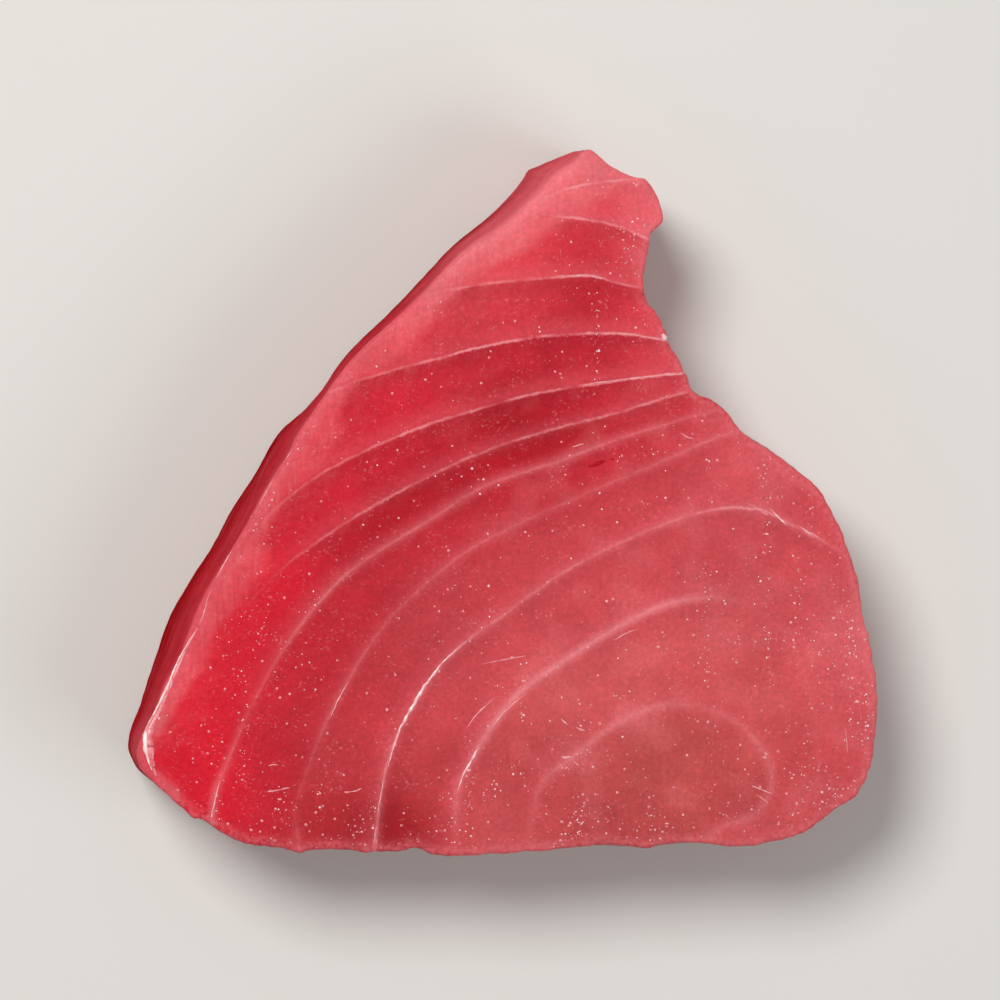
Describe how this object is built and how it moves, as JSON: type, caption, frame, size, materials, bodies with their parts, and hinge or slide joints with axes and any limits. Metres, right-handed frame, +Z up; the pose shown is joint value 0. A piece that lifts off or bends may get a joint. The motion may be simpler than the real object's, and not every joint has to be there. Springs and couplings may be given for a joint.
{
  "type": "raw tuna steak",
  "caption": "Thick boneless slice of raw red tuna loin, roughly triangular with a narrow tail, lying on its flat cut face as food to handle, lay on a plate or cook.",
  "frame": {"origin": "middle of the bounding box's floor, on the surface that the steak lies on", "axes": "+X along the long lower edge towards the wide right flank, +Y from that edge towards the narrow tail, +Z up out of the upper cut face"},
  "size_m": [0.1088, 0.1026, 0.0246],
  "materials": {
    "raw_flesh": "moist raw red fish flesh with thin pale bands of connective tissue, softly translucent, semi-gloss"
  },
  "bodies": {
    "root": {"tuna_steak": "raw_flesh"}
  },
  "joints": []
}
